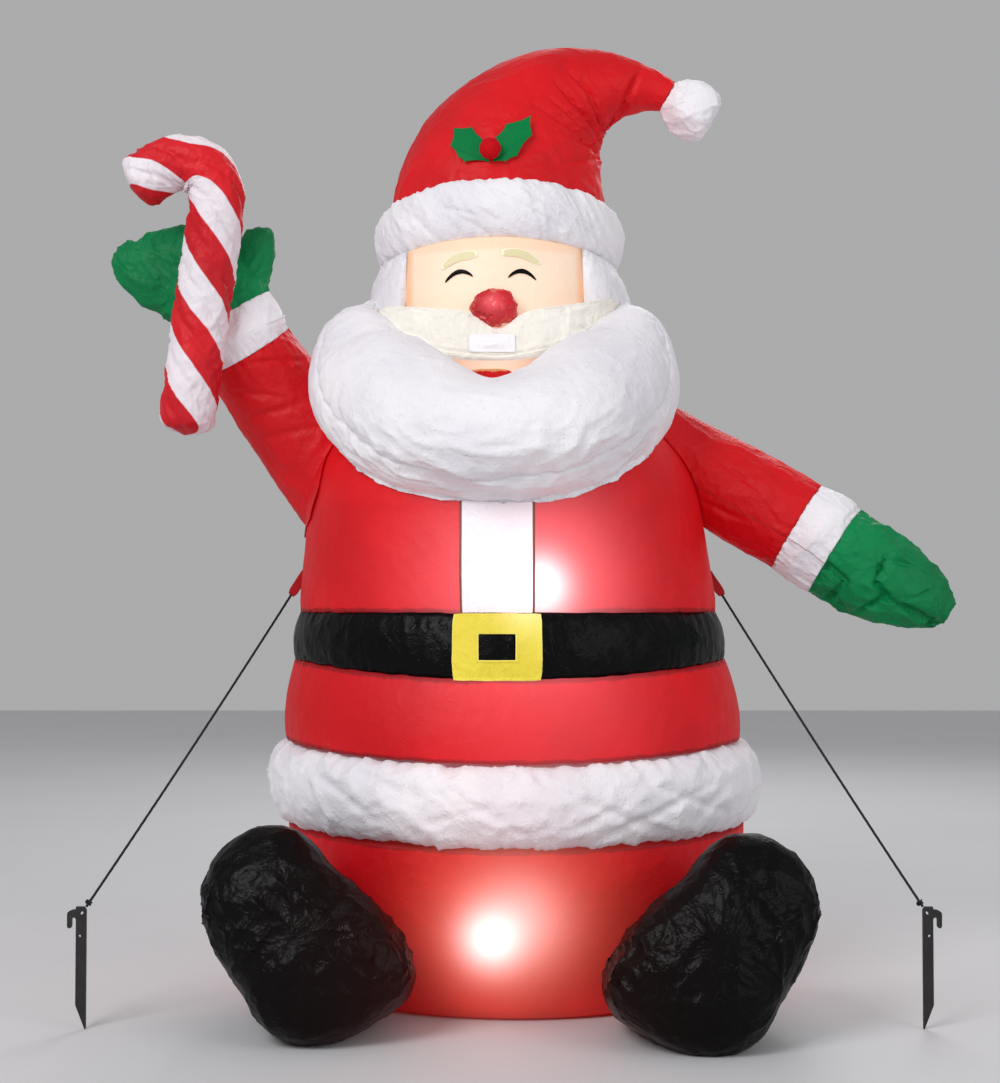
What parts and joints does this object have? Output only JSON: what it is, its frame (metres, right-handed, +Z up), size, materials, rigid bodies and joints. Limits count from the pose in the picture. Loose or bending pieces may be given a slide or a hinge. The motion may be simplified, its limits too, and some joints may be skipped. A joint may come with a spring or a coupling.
{
  "type": "inflatable santa",
  "caption": "Seated folk Santa in sewn inflatable nylon, one arm raised with a striped candy cane, held by two guy lines to ground stakes.",
  "frame": {"origin": "on the floor, on the axis of the seat, at the underside mount", "axes": "+Z up; the figure faces -Y; its raised arm with the cane is at -X"},
  "size_m": [1.0706, 0.769, 1.2061],
  "materials": {
    "red_nylon": "thin sewn nylon, crinkled, lit through from inside",
    "white_nylon": "thin sewn nylon, crinkled",
    "green_nylon": "thin sewn nylon, creased",
    "black_nylon": "thin sewn nylon with a grey sheen",
    "yellow_nylon": "thin nylon sewn on flat",
    "skin_nylon": "thin sewn nylon, lit through from inside",
    "cream_nylon": "thin nylon sewn on flat",
    "striped_nylon": "thin sewn nylon in red and white spiral stripes",
    "red_webbing": "woven webbing tab",
    "black_cord": "braided 3 mm cord",
    "black_plastic": "moulded plastic, satin"
  },
  "bodies": {
    "root": {"beard": "white_nylon", "belt": "black_nylon", "buckle": "yellow_nylon", "candy_cane": "striped_nylon", "coat_chest": "red_nylon", "coat_skirt": "red_nylon", "face": "skin_nylon", "hair": "white_nylon", "hat": "red_nylon", "hat_band": "white_nylon", "hem_trim": "white_nylon", "holly_berry": "red_nylon", "left_boot": "black_nylon", "left_brow": "cream_nylon", "left_eye": "black_nylon", "left_guy_line": "black_cord", "left_holly_leaf": "green_nylon", "left_stake": "black_plastic", "left_tether_tab": "red_webbing", "lowered_cuff": "white_nylon", "lowered_mitten": "green_nylon", "lowered_sleeve": "red_nylon", "moustache": "white_nylon", "moustache_patch": "white_nylon", "mouth": "red_nylon", "nose": "red_nylon", "placket": "white_nylon", "pompom": "white_nylon", "raised_cuff": "white_nylon", "raised_mitten": "green_nylon", "raised_sleeve": "red_nylon", "right_boot": "black_nylon", "right_brow": "cream_nylon", "right_eye": "black_nylon", "right_guy_line": "black_cord", "right_holly_leaf": "green_nylon", "right_stake": "black_plastic", "right_tether_tab": "red_webbing", "seat": "red_nylon"}
  },
  "joints": []
}
